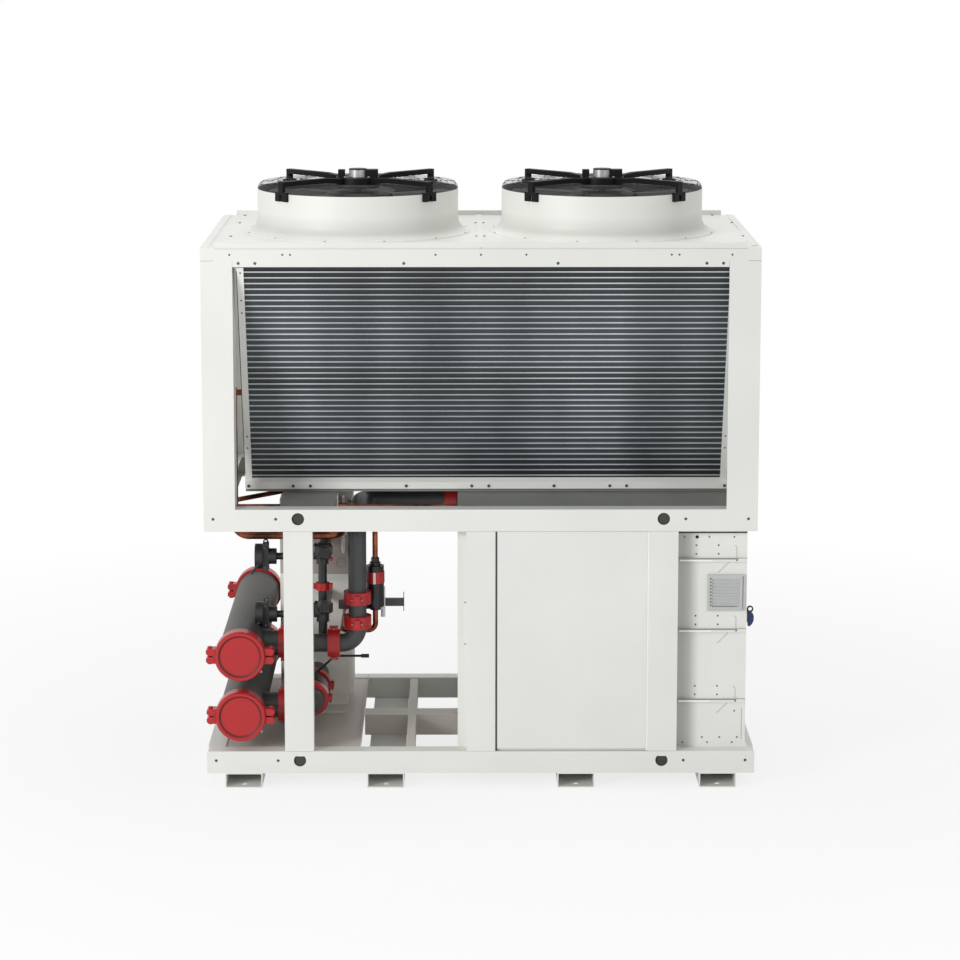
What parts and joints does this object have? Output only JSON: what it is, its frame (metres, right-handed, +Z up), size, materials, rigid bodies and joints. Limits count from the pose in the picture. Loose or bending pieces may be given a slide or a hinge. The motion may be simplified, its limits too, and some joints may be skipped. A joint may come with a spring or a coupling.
{
  "type": "air-cooled chiller",
  "caption": "Packaged air-cooled chiller: sloped condenser coils under top fans on a sheet frame, with water headers, piping, a closed bay and an electrical enclosure.",
  "frame": {"origin": "centre of the footprint at ground level, under the feet", "axes": "+X to the right along the front, +Y from front to rear, +Z up"},
  "size_m": [2.184, 1.22, 2.424],
  "materials": {
    "frame_paint": "smooth off-white powder coat",
    "base_grey": "warm grey paint",
    "inner_sheet": "grey inner sheet",
    "exchanger_skin": "light grey insulated skin",
    "guard_wire": "coated wire",
    "fan_black": "black",
    "rotor_black": "dark grey moulded",
    "coil_fins": "fine fins over tube rows",
    "vent_plastic": "grey moulded",
    "handle_plastic": "navy",
    "header_grey": "satin grey",
    "coupling_red": "red enamel",
    "pipe_dark": "dark grey",
    "valve_black": "black",
    "lever_black": "black",
    "drier_black": "black enamel",
    "bracket_dark": "dark grey",
    "copper": "bare copper"
  },
  "bodies": {
    "frame": {"base_members": "base_grey", "base_rails": "frame_paint", "base_side_rails": "frame_paint", "bay_panels": "frame_paint", "bay_side": "frame_paint", "coil_end_strips": "frame_paint", "coil_sills": "frame_paint", "coils": "coil_fins", "control_valves": "valve_black", "copper_lines": "copper", "corner_caps": "frame_paint", "corner_posts": "frame_paint", "deck": "frame_paint", "deck_trim": "frame_paint", "drier_bracket": "bracket_dark", "enclosure": "frame_paint", "enclosure_ledges": "frame_paint", "end_couplings": "coupling_red", "end_panels": "frame_paint", "fan_arms_left": "fan_black", "fan_arms_right": "fan_black", "fan_cowl_left": "frame_paint", "fan_cowl_right": "frame_paint", "fan_guards": "guard_wire", "feet": "frame_paint", "filter_drier": "drier_black", "floor_pan": "base_grey", "headers": "header_grey", "heat_exchanger": "exchanger_skin", "line_plate": "frame_paint", "lower_branch": "pipe_dark", "lower_posts": "frame_paint", "mid_covers": "inner_sheet", "mid_rails": "frame_paint", "mid_side_rails": "frame_paint", "pipe_grips": "coupling_red", "shutoff_valve": "valve_black", "side_cover": "frame_paint", "sill_rests": "inner_sheet", "top_rails": "frame_paint", "top_side_rails": "frame_paint", "upper_branch": "pipe_dark", "vee_tray": "inner_sheet", "vent_grille": "vent_plastic"},
    "left_fan": {"fan_rotor_left": "rotor_black"},
    "right_fan": {"fan_rotor_right": "rotor_black"},
    "disconnect": {"handle": "handle_plastic"},
    "lever": {"valve_lever": "lever_black"}
  },
  "joints": [
    {"name": "fan_left_spin", "type": "hinge", "parent": "frame", "child": "left_fan", "pos_m": [-0.497, 0, 2.28], "axis": [0, 0, 1], "continuous": true},
    {"name": "fan_right_spin", "type": "hinge", "parent": "frame", "child": "right_fan", "pos_m": [0.497, 0, 2.28], "axis": [0, 0, 1], "continuous": true},
    {"name": "disconnect_turn", "type": "hinge", "parent": "frame", "child": "disconnect", "pos_m": [1.06, -0.515, 0.682], "axis": [1, 0, 0], "range_deg": [0, 90]},
    {"name": "lever_turn", "type": "hinge", "parent": "frame", "child": "lever", "pos_m": [-0.684, -0.2, 0.365], "axis": [0, 0, 1], "range_deg": [0, 90]}
  ]
}
